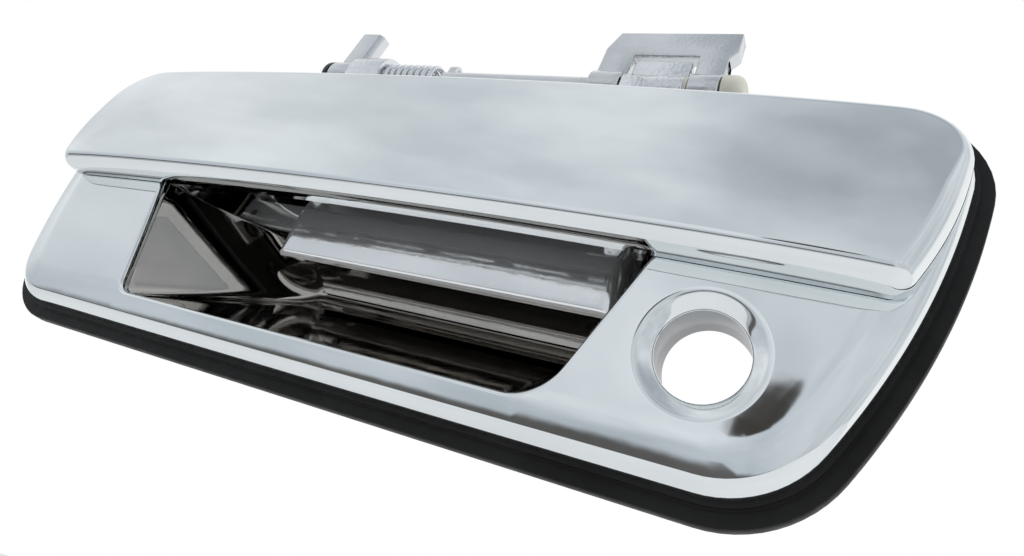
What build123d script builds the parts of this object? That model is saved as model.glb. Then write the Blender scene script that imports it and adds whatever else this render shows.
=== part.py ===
from build123d import *
import math
import os

os.makedirs("parts", exist_ok=True)

# A chromed pickup tailgate handle. Millimetres, +Z up, -Y towards the hand.
# The origin lies on the tailgate's outer skin, Y = 0, on the handle's centre line,
# at the height where the paddle's lower edge meets the finger recess.

# Depths, as distances in front of the skin
FACE = 9.5
FACE_WALL = 2.5
RIM_FRONT = 4.75
PADDLE_GAP = 0.4
PADDLE_REAR = FACE + PADDLE_GAP

# Bezel outline: a crowned top, bowed ends that lean inwards, a straight bottom
CROWN_Z = 51.4
TOP_X, TOP_Z = 141.5, 46.5
BELLY_X, BELLY_Z = 131.2, -3.3
FOOT_X, FOOT_Z = 110.0, -43.2
UPPER_CORNER_R = 17
LOWER_CORNER_R = 24
ROLL_R = 4.2
RIM_WALL = 3.0

# Paddle outline, which covers the bezel's upper half
PADDLE_CROWN_Z = 49.0
PADDLE_TOP_X, PADDLE_TOP_Z = 139.3, 44.6
PADDLE_SIDE_X, PADDLE_SIDE_Z = 136.6, 19.0
PADDLE_TIP_X, PADDLE_TIP_Z = 128.0, -2.5
PADDLE_SILL_Z = 0.4
PADDLE_CORNER_R = 14
PADDLE_TIP_R = 4
PADDLE_SHOULDER_R = 2.0
PADDLE_WALL = 2.5
PADDLE_DEPTH = 12.0
PROFILE_SPAN = 300.0
PROFILE_Z = (52.0, 46.0, 38.0, 28.0, 16.0, 4.0, -6.0)
PROFILE_FRONT = (-11.8, -13.1, -14.9, -16.6, -17.9, -18.6, -18.3)

# Finger recess: the opening in the bezel, and the scoop behind it
SILL_Z = 1.0
RECESS_FLOOR_Z = -35.3
RECESS_LEFT, RECESS_RIGHT = -84.6, 78.7
RECESS_FLOOR_LEFT, RECESS_FLOOR_RIGHT = -66.0, 64.4
CHAMBER_TOP_Z = 34.0
CUP_WALL = 2.0
RECESS_LEFT_R, RECESS_RIGHT_R = 7.0, 12.0
SCOOP_BACK = 19.5
SCOOP_BACK_FLOOR_Z = -16.5
SCOOP_BACK_LEFT, SCOOP_BACK_RIGHT = -46.0, 74.0
SCOOP_BACK_FLOOR_LEFT, SCOOP_BACK_FLOOR_RIGHT = -28.0, 66.0
CHAMBER_BACK = 22.5
SCOOP_MOUTH_R = 9.0
SCOOP_END_R = 5.0
CHAMBER_R = 5.0

# Keyhole, a plain through bore with a conical dish
KEY_X, KEY_Z = 93.4, -19.0
KEY_R = 9.5
KEY_DISH_R = 12.4
KEY_DISH_DEPTH = 1.6
KEY_TUBE_R = 11.5
KEY_TUBE_BACK = 2.0

# Gasket
GASKET_PROUD = 4.0
GASKET_FLANGE = 3.2
GASKET_LIP_PROUD = 1.0

# Hinge line, behind the skin and above the bezel
PIN_Y, PIN_Z = 10.5, 67.5
PIN_R = 3.0
PIN_CHAMFER = 0.6
RUNNING_GAP = 0.05
BUSH_R = 4.4
BUSH_FLANGE_R = 6.0
BUSH_FLANGE_RIGHT_R = 5.4
BUSH_FLANGE = 1.0
EYE_R = 6.5
LEFT_BOSS_R = 8.4
KNUCKLE_R = 5.6
PIN_LEFT, PIN_RIGHT = -76.0, 81.5
CLIP_0, CLIP_1 = -74.4, -72.4
CLIP_R = 6.4
CAP_0, CAP_1 = 77.6, 84.0
CAP_R = 6.4
CAP_DOME_R = 3.0
TUBE_R = 4.3

# Stations along the hinge line, from left to right
LEVER_L0, LEVER_L1 = -71.9, -62.1
BOSS_L0, BOSS_L1 = -60.6, -46.0
SPRING_0, SPRING_1 = -45.0, -22.8
TUBE_0, TUBE_1 = -21.6, 35.6
TUBE_LUG = 3.0
LEG_L0, LEG_L1 = 35.6, 46.0
KNUCKLE_0, KNUCKLE_1 = 47.6, 66.2
LEG_R0, LEG_R1 = 67.7, 77.0

# Levers: blades above the pin, arms below it
BLADE_Y0, BLADE_Y1 = 7.5, 13.0
ARM_Y0, ARM_Y1 = 10.5, 18.0
LEVER_TOP_L = 90.6
LEVER_TOP_R = 92.3
SLOT_TOP_Z = 82.0
ARM_R0, ARM_R1 = 56.0, 68.0
ARM_FOOT_L, ARM_FOOT_R = 2.0, -1.0
ARM_NOTCH_Z = 12.0
ARM_JOG_Z0, ARM_JOG_Z1 = 49.0, 59.0
WEB_TOP_Z = 27.0
WEB_HALF = 4.0
HEAD_LEFT_Z = 84.5
HEAD_TOP_X = 38.6
HEAD_RIGHT_X = 79.3
HEAD_RIGHT_Z = 84.0
HEAD_SHOULDER_Z = 81.0
ROD_Y, ROD_Z, ROD_R = 10.3, 79.0, 1.9
LEVER_BEVEL = 1.8
SLOT_GAP = 1.1
SLOT_FRONT_Y = -5.2
PLATE_Y0, PLATE_Y1 = -PADDLE_REAR, -7.4
PLATE_LEFT, PLATE_RIGHT = -80.0, 75.0
PLATE_Z0, PLATE_Z1 = 5.0, 30.0
PAD_Y1 = -4.4
PAD_HALF = 11.0

# Grip bar, the bright bar seen inside the recess
BAR_Y0, BAR_Y1 = 7.5, 12.0
BAR_LEFT, BAR_RIGHT = -43.5, 66.5
BAR_Z0, BAR_Z1 = -7.5, 11.0
BAR_FLANGE_Y = 14.5
BAR_FLANGE_Z0 = 2.0

# Return spring
WIRE_R = 0.95
COIL_R = 5.5
TURNS = 8
SPRING_HOLE = 4.0
TAIL_EASE = 0.5
LUG_R = 2.4

# Bracket that carries the hinge
BRACKET_Y0, BRACKET_Y1 = 2.5, 5.5
BRACKET_Z0, BRACKET_Z1 = 38.0, 58.0
BRACKET_RIGHT = 54.0
NECK_Z = 54.0
RIB_TOP_Z = 79.2
RIB_Y0, RIB_Y1 = 7.6, 11.4

# Fasteners
STUD_X, STUD_Z0, STUD_Z1 = 113.0, -15.0, 15.0
STUD_R = 3.0
STUD_ROOT_R = 3.7
STUD_BACK = 18.0
STUD_BOSS_R = 6.0
STUD_SEAT = -0.3
POST_HOLE = 5.5
BRACKET_SCREW_X = (-52.0, -18.0, 16.0, 46.0)
BRACKET_SCREW_Z = 43.2
CUP_SCREW_X = (-91.2, 85.4)
CUP_SCREW_Z = (9.0, 27.0)
CUP_EAR_Y = 0.0
EAR = 2.5
EAR_HALF = 4.4
HOLE_EASE = 0.2
TIP_EASE = 0.5
SMALL_BOSS_R = 3.6
SMALL_SHANK_R = 1.5
SMALL_HEAD_R = 3.0
SMALL_HEAD = 2.0
PADDLE_SCREW_X = (-46.0, -16.0, 14.0, 42.0)
PADDLE_SCREW_Z = 18.0
LEVER_SCREW_X = (-74.5, -59.5, 54.5, 69.5)
LEVER_SCREW_Z = 19.5
BAR_SCREW_X = (-66.5, 59.4)
BAR_SCREW_Z = 6.0
COVER_BOSS = 6.6
COVER_HOLE = 4.6
COVER_PAD = 2.8
MOVING_GAP = 0.3
PLATE_CORNER_R = 4.0
BAR_END_R = 3.0
BAR_LIP_R = 2.0
BAR_HOLE = 1.5
BAR_FLANGE_LEFT = -71.4
STOP_PAD_R = 6.0
STOP_X, STOP_Z = 112.0, 31.0
STOP_R = 5.0
STOP_HEIGHT = 2.1
STOP_STEM_R = 2.5
STOP_BEAD = 1.4
STOP_BEAD_R = 3.3

FRONT = Plane.XZ          # its normal points at the hand, so offset(d) lies at Y = -d
SIDE = Plane.YZ           # its normal is +X


def at(y):
    """The plane across the handle at depth y, facing the hand."""
    return FRONT.offset(-y)


def bowed_outline(plane, crown, top, side, foot, sill, corner_r, foot_r, grow):
    """Sketches a symmetrical outline with a crowned top, bowed ends and rounded corners.

    top, side and foot are points on the right half. Growing it moves each point
    along the outline's own normal there, and each radius with it.
    """
    lean = math.atan2(top[1] - foot[1], top[0] - foot[0])
    foot_slip = math.tan(lean / 2)
    top_slip = math.tan((math.pi - lean) / 2)
    top = (top[0] + grow * top_slip, top[1] + grow)
    side = (side[0] + grow * math.sin(lean), side[1] - grow * math.cos(lean))
    foot = (foot[0] + grow * foot_slip, foot[1] - grow)
    with BuildSketch(plane) as face:
        with BuildLine():
            ThreePointArc((-top[0], top[1]), (0, crown + grow), top)
            ThreePointArc(top, side, foot)
            if sill == foot[1] + grow:
                Line(foot, (-foot[0], foot[1]))
            else:
                ThreePointArc(foot, (0, sill - grow), (-foot[0], foot[1]))
            ThreePointArc((-foot[0], foot[1]), (-side[0], side[1]), (-top[0], top[1]))
        make_face()
        fillet(face.vertices().group_by(Axis.Y)[-1], corner_r + grow)
        fillet(face.vertices().group_by(Axis.Y)[0], foot_r + grow)
    return face.sketch


def bezel_outline(plane, grow=0.0):
    """Sketches the bezel's outline on a plane, grown outwards by grow."""
    return bowed_outline(
        plane, CROWN_Z, (TOP_X, TOP_Z), (BELLY_X, BELLY_Z), (FOOT_X, FOOT_Z), FOOT_Z,
        UPPER_CORNER_R, LOWER_CORNER_R, grow,
    )


def paddle_outline(plane, grow=0.0):
    """Sketches the paddle's outline on a plane, grown outwards by grow."""
    return bowed_outline(
        plane, PADDLE_CROWN_Z, (PADDLE_TOP_X, PADDLE_TOP_Z), (PADDLE_SIDE_X, PADDLE_SIDE_Z),
        (PADDLE_TIP_X, PADDLE_TIP_Z), PADDLE_SILL_Z, PADDLE_CORNER_R, PADDLE_TIP_R, grow,
    )


def paddle_profile(inset=0.0):
    """Sketches the paddle's section across the hinge line, its front drawn back by inset."""
    points = [(y + inset, z) for y, z in zip(PROFILE_FRONT, PROFILE_Z)]
    with BuildSketch(SIDE.offset(-PROFILE_SPAN / 2)) as section:
        with BuildLine():
            front = Spline(*points)
            Polyline(front @ 1, (0, PROFILE_Z[-1]), (0, PROFILE_Z[0]), front @ 0)
        make_face()
    return section.sketch


def rounds(y, radius, centres):
    """Sketches circles of one radius on the plane at depth y."""
    with BuildSketch(at(y)) as discs:
        with Locations(*centres):
            Circle(radius)
    return discs.sketch


def block(x0, x1, y0, y1, z0, z1, mode=Mode.ADD):
    """Adds, or cuts, a block between two corners."""
    with BuildSketch(at(y1)) as face:
        with Locations(((x0 + x1) / 2, (z0 + z1) / 2)):
            Rectangle(x1 - x0, z1 - z0)
    extrude(face.sketch, amount=y1 - y0, mode=mode)


def on_hinge(x0, x1, radius, mode=Mode.ADD):
    """Adds, or cuts, a round bar on the hinge line from x0 to x1."""
    with BuildSketch(SIDE.offset(x0)) as disc:
        with Locations((PIN_Y, PIN_Z)):
            Circle(radius)
    extrude(disc.sketch, amount=x1 - x0, mode=mode)


def scoop_section(y, floor_z, floor_left, floor_right, left, right, radius, grow=0.0):
    """Sketches one section of the scoop, its floor corners rounded, grown outwards by grow."""
    with BuildSketch(at(y)) as section:
        with BuildLine():
            Polyline(
                (floor_left - grow, floor_z - grow),
                (floor_right + grow, floor_z - grow),
                (right + grow, SILL_Z),
                (left - grow, SILL_Z),
                close=True,
            )
        make_face()
        fillet(section.vertices().group_by(Axis.Y)[0], radius + grow)
    return section.sketch


def scoop(grow, back, mode):
    """Adds, or cuts, the scoop, whose sides and floor draw in towards the back."""
    mouth = scoop_section(
        INSIDE, RECESS_FLOOR_Z, RECESS_FLOOR_LEFT, RECESS_FLOOR_RIGHT,
        RECESS_LEFT, RECESS_RIGHT, SCOOP_MOUTH_R, grow,
    )
    end = scoop_section(
        back, SCOOP_BACK_FLOOR_Z, SCOOP_BACK_FLOOR_LEFT, SCOOP_BACK_FLOOR_RIGHT,
        SCOOP_BACK_LEFT, SCOOP_BACK_RIGHT, SCOOP_END_R, grow,
    )
    loft([mouth, end], ruled=True, mode=mode)


def pan_screws(seat_y, reach, centres):
    """Adds round-headed screws whose heads rest on the plane at seat_y, behind it."""
    extrude(rounds(seat_y + SMALL_HEAD, SMALL_HEAD_R, centres), amount=SMALL_HEAD)
    extrude(rounds(seat_y, SMALL_SHANK_R, centres), amount=reach)


BRACKET_POSTS = [(x, BRACKET_SCREW_Z) for x in BRACKET_SCREW_X]
CUP_POSTS = [(x, z) for x in CUP_SCREW_X for z in CUP_SCREW_Z]
KEYHOLE = [(KEY_X, KEY_Z)]
STUDS = [(x, z) for x in (-STUD_X, STUD_X) for z in (STUD_Z0, STUD_Z1)]
STOPS = [(-STOP_X, STOP_Z), (STOP_X, STOP_Z)]
PADDLE_SCREWS = [(x, PADDLE_SCREW_Z) for x in PADDLE_SCREW_X]
LEVER_SCREWS = [(x, LEVER_SCREW_Z) for x in LEVER_SCREW_X]
BAR_SCREWS = [(x, BAR_SCREW_Z) for x in BAR_SCREW_X]
INSIDE = -FACE + FACE_WALL      # the depth of the bezel's inner face
STOP_FACE = -FACE - STOP_HEIGHT

# ---------------------------------------------------------------- bezel
with BuildPart() as bezel:
    extrude(bezel_outline(at(-RIM_FRONT)), amount=FACE - RIM_FRONT)
    fillet(bezel.faces().sort_by(Axis.Y)[0].outer_wire().edges(), ROLL_R)
    # hollow back
    extrude(bezel_outline(at(-RIM_FRONT), -RIM_WALL), amount=-INSIDE - RIM_FRONT, mode=Mode.SUBTRACT)
    # posts for the bracket, the cup and the studs
    extrude(rounds(BRACKET_Y0, SMALL_BOSS_R, BRACKET_POSTS), amount=BRACKET_Y0 - INSIDE)
    extrude(rounds(CUP_EAR_Y, SMALL_BOSS_R, CUP_POSTS), amount=CUP_EAR_Y - INSIDE)
    extrude(rounds(STUD_SEAT, STUD_BOSS_R, STUDS), amount=STUD_SEAT - INSIDE)
    # keyhole tube, its bore and its dish
    extrude(rounds(KEY_TUBE_BACK, KEY_TUBE_R, KEYHOLE), amount=KEY_TUBE_BACK - INSIDE)
    extrude(rounds(KEY_TUBE_BACK, KEY_R, KEYHOLE), amount=KEY_TUBE_BACK + FACE, mode=Mode.SUBTRACT)
    dish_floor = rounds(-FACE + KEY_DISH_DEPTH, KEY_R, KEYHOLE)
    dish_mouth = rounds(-FACE, KEY_DISH_R, KEYHOLE)
    loft([dish_floor, dish_mouth], mode=Mode.SUBTRACT)
    # recess opening, and the chamber above it behind the paddle
    with BuildSketch(at(INSIDE)) as opening:
        with BuildLine():
            Polyline(
                (RECESS_FLOOR_LEFT, RECESS_FLOOR_Z),
                (RECESS_FLOOR_RIGHT, RECESS_FLOOR_Z),
                (RECESS_RIGHT, SILL_Z),
                (RECESS_RIGHT, CHAMBER_TOP_Z),
                (RECESS_LEFT, CHAMBER_TOP_Z),
                (RECESS_LEFT, SILL_Z),
                close=True,
            )
        make_face()
        fillet(opening.vertices().group_by(Axis.Y)[-1], CHAMBER_R)
        fillet(opening.vertices().group_by(Axis.Y)[0].sort_by(Axis.X)[0], RECESS_LEFT_R)
        fillet(opening.vertices().group_by(Axis.Y)[0].sort_by(Axis.X)[-1], RECESS_RIGHT_R)
    extrude(amount=FACE_WALL, mode=Mode.SUBTRACT)
    # holes in the posts
    extrude(rounds(BRACKET_Y0, SMALL_SHANK_R, BRACKET_POSTS), amount=POST_HOLE, mode=Mode.SUBTRACT)
    extrude(rounds(CUP_EAR_Y, SMALL_SHANK_R, CUP_POSTS), amount=POST_HOLE, mode=Mode.SUBTRACT)
    extrude(rounds(STUD_SEAT, STUD_ROOT_R, STUDS), amount=POST_HOLE, mode=Mode.SUBTRACT)
    extrude(rounds(INSIDE, STOP_STEM_R, STOPS), amount=FACE_WALL, mode=Mode.SUBTRACT)
bezel.part.label = "bezel"
export_step(bezel.part, "parts/bezel.step")

# ---------------------------------------------------------------- finger_cup
with BuildPart() as finger_cup:
    scoop(CUP_WALL, SCOOP_BACK + CUP_WALL, Mode.ADD)
    block(
        RECESS_LEFT - CUP_WALL, RECESS_RIGHT + CUP_WALL, INSIDE, CHAMBER_BACK + CUP_WALL,
        SILL_Z - CUP_WALL, CHAMBER_TOP_Z + CUP_WALL,
    )
    for x, z in CUP_POSTS:
        inner = RECESS_LEFT if x < 0 else RECESS_RIGHT
        outer = x + math.copysign(EAR_HALF, x)
        x0, x1 = sorted((inner, outer))
        block(x0, x1, CUP_EAR_Y, CUP_EAR_Y + EAR, z - EAR_HALF, z + EAR_HALF)
    block(RECESS_LEFT, RECESS_RIGHT, INSIDE, CHAMBER_BACK, SILL_Z, CHAMBER_TOP_Z, Mode.SUBTRACT)
    scoop(0.0, SCOOP_BACK, Mode.SUBTRACT)
    for x0, x1 in ((LEVER_L0, LEVER_L1), (ARM_R0, ARM_R1)):
        block(
            x0 - SLOT_GAP, x1 + SLOT_GAP, SLOT_FRONT_Y, ARM_Y1 + SLOT_GAP,
            CHAMBER_TOP_Z, CHAMBER_TOP_Z + CUP_WALL, Mode.SUBTRACT,
        )
    extrude(rounds(CUP_EAR_Y + EAR, SMALL_SHANK_R + HOLE_EASE, CUP_POSTS), amount=EAR, mode=Mode.SUBTRACT)
finger_cup.part.label = "finger_cup"
export_step(finger_cup.part, "parts/finger_cup.step")

# ---------------------------------------------------------------- gasket
with BuildPart() as gasket:
    extrude(bezel_outline(at(0), GASKET_PROUD), amount=GASKET_FLANGE)
    extrude(bezel_outline(at(-GASKET_FLANGE), GASKET_LIP_PROUD), amount=RIM_FRONT - GASKET_FLANGE)
    extrude(bezel_outline(at(0), -RIM_WALL), amount=RIM_FRONT, mode=Mode.SUBTRACT)
gasket.part.label = "gasket"
export_step(gasket.part, "parts/gasket.step")

# ---------------------------------------------------------------- hinge_bracket
with BuildPart() as hinge_bracket:
    block(BOSS_L0, BRACKET_RIGHT, BRACKET_Y0, BRACKET_Y1, BRACKET_Z0, BRACKET_Z1)
    block(BOSS_L0, BOSS_L1, BRACKET_Y0, PIN_Y, NECK_Z, PIN_Z)
    on_hinge(BOSS_L0, BOSS_L1, LEFT_BOSS_R)
    block(KNUCKLE_0, BRACKET_RIGHT, BRACKET_Y0, PIN_Y, NECK_Z, PIN_Z)
    on_hinge(KNUCKLE_0, KNUCKLE_1, KNUCKLE_R)
    block(KNUCKLE_0, KNUCKLE_1, RIB_Y0, RIB_Y1, PIN_Z, RIB_TOP_Z)
    on_hinge(BOSS_L0, KNUCKLE_1, BUSH_R, Mode.SUBTRACT)
    extrude(
        rounds(BRACKET_Y1, SMALL_SHANK_R + HOLE_EASE, BRACKET_POSTS),
        amount=BRACKET_Y1 - BRACKET_Y0, mode=Mode.SUBTRACT,
    )
    with BuildSketch(SIDE.offset(BOSS_L1 - SPRING_HOLE)) as spring_hole:
        with Locations((PIN_Y, PIN_Z + COIL_R)):
            Circle(WIRE_R + RUNNING_GAP)
    extrude(amount=SPRING_HOLE, mode=Mode.SUBTRACT)
hinge_bracket.part.label = "hinge_bracket"
export_step(hinge_bracket.part, "parts/hinge_bracket.step")

# ---------------------------------------------------------------- bushes
with BuildPart() as bush_left:
    on_hinge(BOSS_L0, BOSS_L1, BUSH_R)
    on_hinge(BOSS_L0 - BUSH_FLANGE, BOSS_L0, BUSH_FLANGE_R)
    on_hinge(BOSS_L0 - BUSH_FLANGE, BOSS_L1, PIN_R + RUNNING_GAP, Mode.SUBTRACT)
bush_left.part.label = "bush_left"
export_step(bush_left.part, "parts/bush_left.step")

with BuildPart() as bush_right:
    on_hinge(KNUCKLE_0, KNUCKLE_1, BUSH_R)
    on_hinge(KNUCKLE_1, KNUCKLE_1 + BUSH_FLANGE, BUSH_FLANGE_RIGHT_R)
    on_hinge(KNUCKLE_0, KNUCKLE_1 + BUSH_FLANGE, PIN_R + RUNNING_GAP, Mode.SUBTRACT)
bush_right.part.label = "bush_right"
export_step(bush_right.part, "parts/bush_right.step")

# ---------------------------------------------------------------- fasteners of the housing
with BuildPart() as mounting_studs:
    extrude(rounds(STUD_SEAT, STUD_ROOT_R, STUDS), amount=POST_HOLE)
    extrude(rounds(STUD_BACK, STUD_R, STUDS), amount=STUD_BACK - STUD_SEAT)
    chamfer(mounting_studs.faces().sort_by(Axis.Y)[-4:].edges(), PIN_CHAMFER)
mounting_studs.part.label = "mounting_studs"
export_step(mounting_studs.part, "parts/mounting_studs.step")

with BuildPart() as bracket_screws:
    pan_screws(BRACKET_Y1, BRACKET_Y1 - BRACKET_Y0 + POST_HOLE - TIP_EASE, BRACKET_POSTS)
bracket_screws.part.label = "bracket_screws"
export_step(bracket_screws.part, "parts/bracket_screws.step")

with BuildPart() as cup_screws:
    pan_screws(CUP_EAR_Y + EAR, EAR + POST_HOLE - TIP_EASE, CUP_POSTS)
cup_screws.part.label = "cup_screws"
export_step(cup_screws.part, "parts/cup_screws.step")

with BuildPart() as bump_stops:
    extrude(rounds(-FACE, STOP_R, STOPS), amount=STOP_HEIGHT)
    extrude(rounds(INSIDE, STOP_STEM_R, STOPS), amount=FACE_WALL)
    extrude(rounds(INSIDE + STOP_BEAD, STOP_BEAD_R, STOPS), amount=STOP_BEAD)
bump_stops.part.label = "bump_stops"
export_step(bump_stops.part, "parts/bump_stops.step")

# ---------------------------------------------------------------- paddle_cover
with BuildPart() as cover_hollow:
    extrude(paddle_outline(at(-PADDLE_REAR), -PADDLE_WALL), amount=PADDLE_DEPTH)
    extrude(paddle_profile(PADDLE_WALL), amount=PROFILE_SPAN, mode=Mode.INTERSECT)

with BuildPart() as paddle_cover:
    extrude(paddle_outline(at(-PADDLE_REAR)), amount=PADDLE_DEPTH)
    extrude(paddle_profile(), amount=PROFILE_SPAN, mode=Mode.INTERSECT)
    fillet(paddle_cover.faces().sort_by(Axis.Y)[0].outer_wire().edges(), PADDLE_SHOULDER_R)
    add(cover_hollow.part, mode=Mode.SUBTRACT)
    extrude(rounds(PLATE_Y0, SMALL_BOSS_R, PADDLE_SCREWS + LEVER_SCREWS), amount=COVER_BOSS)
    extrude(rounds(STOP_FACE - MOVING_GAP, STOP_PAD_R, STOPS), amount=COVER_PAD)
    extrude(
        rounds(PLATE_Y0, SMALL_SHANK_R, PADDLE_SCREWS + LEVER_SCREWS),
        amount=COVER_HOLE, mode=Mode.SUBTRACT,
    )
paddle_cover.part.label = "paddle_cover"
export_step(paddle_cover.part, "parts/paddle_cover.step")

# ---------------------------------------------------------------- paddle_plate
with BuildPart() as paddle_plate:
    block(PLATE_LEFT, PLATE_RIGHT, PLATE_Y0, PLATE_Y1, PLATE_Z0, PLATE_Z1)
    fillet(paddle_plate.edges().filter_by(Axis.Y), PLATE_CORNER_R)
    extrude(
        rounds(PLATE_Y1, SMALL_SHANK_R + HOLE_EASE, PADDLE_SCREWS + LEVER_SCREWS),
        amount=PLATE_Y1 - PLATE_Y0, mode=Mode.SUBTRACT,
    )
paddle_plate.part.label = "paddle_plate"
export_step(paddle_plate.part, "parts/paddle_plate.step")


def lever_arm(x0, x1, foot_z, screw_x):
    """Adds an arm from the hinge line to its foot, its web and its pad on the paddle plate."""
    web_x = (x0 + x1) / 2
    block(x0, x1, ARM_Y0, ARM_Y1, ARM_NOTCH_Z, ARM_JOG_Z0)
    block(x0, x1, BAR_FLANGE_Y, ARM_Y1, foot_z, ARM_NOTCH_Z)
    block(web_x - WEB_HALF, web_x + WEB_HALF, PLATE_Y1, ARM_Y0, ARM_NOTCH_Z, WEB_TOP_Z)
    block(web_x - PAD_HALF, web_x + PAD_HALF, PLATE_Y1, PAD_Y1, ARM_NOTCH_Z, WEB_TOP_Z)
    pad_screws = [(x, LEVER_SCREW_Z) for x in LEVER_SCREW_X if abs(x - web_x) < PAD_HALF]
    extrude(
        rounds(PAD_Y1, SMALL_SHANK_R + HOLE_EASE, pad_screws),
        amount=PAD_Y1 - PLATE_Y1, mode=Mode.SUBTRACT,
    )
    extrude(
        rounds(ARM_Y1, SMALL_SHANK_R + HOLE_EASE, [(screw_x, BAR_SCREW_Z)]),
        amount=ARM_Y1 - BAR_FLANGE_Y, mode=Mode.SUBTRACT,
    )


# ---------------------------------------------------------------- lever_left
with BuildPart() as lever_left:
    block(LEVER_L0, LEVER_L1, BLADE_Y0, BLADE_Y1, PIN_Z, LEVER_TOP_L)
    blade = lever_left.edges().filter_by(Axis.Z).group_by(Axis.Y)[0].sort_by(Axis.X)[-1]
    chamfer(blade, LEVER_BEVEL)
    on_hinge(LEVER_L0, LEVER_L1, EYE_R)
    block(LEVER_L0, LEVER_L1, ARM_Y0, ARM_Y1, ARM_JOG_Z0, PIN_Z)
    lever_arm(LEVER_L0, LEVER_L1, ARM_FOOT_L, BAR_SCREW_X[0])
    on_hinge(LEVER_L0, LEVER_L1, PIN_R, Mode.SUBTRACT)
lever_left.part.label = "lever_left"
export_step(lever_left.part, "parts/lever_left.step")

# ---------------------------------------------------------------- lever_right
with BuildPart() as lever_right:
    # slotted head
    with BuildSketch(at(BLADE_Y1)) as head_face:
        with BuildLine():
            Polyline(
                (LEG_L0, PIN_Z),
                (LEG_L0, HEAD_LEFT_Z),
                (HEAD_TOP_X, LEVER_TOP_R),
                (HEAD_RIGHT_X, LEVER_TOP_R),
                (HEAD_RIGHT_X, HEAD_RIGHT_Z),
                (LEG_R1, HEAD_SHOULDER_Z),
                (LEG_R1, PIN_Z),
                (LEG_R0, PIN_Z),
                (LEG_R0, SLOT_TOP_Z),
                (LEG_L1, SLOT_TOP_Z),
                (LEG_L1, PIN_Z),
                close=True,
            )
        make_face()
    extrude(amount=BLADE_Y1 - BLADE_Y0)
    # eyes, and the arm that jogs inwards under the knuckle
    on_hinge(LEG_L0, LEG_L1, EYE_R)
    on_hinge(LEG_R0, LEG_R1, EYE_R)
    with BuildSketch(at(ARM_Y1)) as jog_face:
        with BuildLine():
            Polyline(
                (LEG_R0, PIN_Z),
                (LEG_R0, ARM_JOG_Z1),
                (ARM_R0, ARM_JOG_Z0),
                (ARM_R1, ARM_JOG_Z0),
                (LEG_R1, ARM_JOG_Z1),
                (LEG_R1, PIN_Z),
                close=True,
            )
        make_face()
    extrude(amount=ARM_Y1 - ARM_Y0)
    lever_arm(ARM_R0, ARM_R1, ARM_FOOT_R, BAR_SCREW_X[1])
    on_hinge(LEG_L0, LEG_R1, PIN_R, Mode.SUBTRACT)
    with BuildSketch(SIDE.offset(LEG_R0)) as rod_hole:
        with Locations((ROD_Y, ROD_Z)):
            Circle(ROD_R)
    extrude(amount=HEAD_RIGHT_X - LEG_R0, mode=Mode.SUBTRACT)
lever_right.part.label = "lever_right"
export_step(lever_right.part, "parts/lever_right.step")

# ---------------------------------------------------------------- grip_bar
with BuildPart() as grip_bar:
    block(BAR_LEFT, BAR_RIGHT, BAR_Y0, BAR_Y1, BAR_Z0, BAR_Z1)
    fillet(grip_bar.edges().filter_by(Axis.Z).group_by(Axis.Y)[0], BAR_END_R)
    fillet(grip_bar.faces().sort_by(Axis.Y)[0].edges().sort_by(Axis.Z)[0], BAR_LIP_R)
    block(BAR_FLANGE_LEFT, BAR_RIGHT, BAR_Y1, BAR_FLANGE_Y, BAR_FLANGE_Z0, BAR_Z1)
    extrude(
        rounds(BAR_FLANGE_Y, SMALL_SHANK_R, BAR_SCREWS),
        amount=BAR_FLANGE_Y - BAR_Y1 + BAR_HOLE, mode=Mode.SUBTRACT,
    )
grip_bar.part.label = "grip_bar"
export_step(grip_bar.part, "parts/grip_bar.step")

# ---------------------------------------------------------------- hinge line
with BuildPart() as hinge_pin:
    on_hinge(PIN_LEFT, PIN_RIGHT, PIN_R)
    chamfer(hinge_pin.edges().group_by(Axis.X)[0], PIN_CHAMFER)
hinge_pin.part.label = "hinge_pin"
export_step(hinge_pin.part, "parts/hinge_pin.step")

with BuildPart() as torque_tube:
    on_hinge(TUBE_0, TUBE_1, TUBE_R)
    with BuildSketch(SIDE.offset(TUBE_0)) as lug:
        with Locations((PIN_Y, PIN_Z + COIL_R / 2)):
            Rectangle(2 * LUG_R, COIL_R)
        with Locations((PIN_Y, PIN_Z + COIL_R)):
            Circle(LUG_R)
    extrude(amount=TUBE_LUG)
    with BuildSketch(SIDE.offset(TUBE_0)) as wire_hole:
        with Locations((PIN_Y, PIN_Z + COIL_R)):
            Circle(WIRE_R + RUNNING_GAP)
    extrude(amount=TUBE_LUG, mode=Mode.SUBTRACT)
    on_hinge(TUBE_0, TUBE_1, PIN_R + RUNNING_GAP, Mode.SUBTRACT)
torque_tube.part.label = "torque_tube"
export_step(torque_tube.part, "parts/torque_tube.step")

with BuildPart() as pin_clip:
    on_hinge(CLIP_0, CLIP_1, CLIP_R)
    on_hinge(CLIP_0, CLIP_1, PIN_R, Mode.SUBTRACT)
pin_clip.part.label = "pin_clip"
export_step(pin_clip.part, "parts/pin_clip.step")

with BuildPart() as pin_cap:
    on_hinge(CAP_0, CAP_1, CAP_R)
    fillet(pin_cap.edges().group_by(Axis.X)[-1], CAP_DOME_R)
    on_hinge(CAP_0, PIN_RIGHT, PIN_R, Mode.SUBTRACT)
pin_cap.part.label = "pin_cap"
export_step(pin_cap.part, "parts/pin_cap.step")

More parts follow.
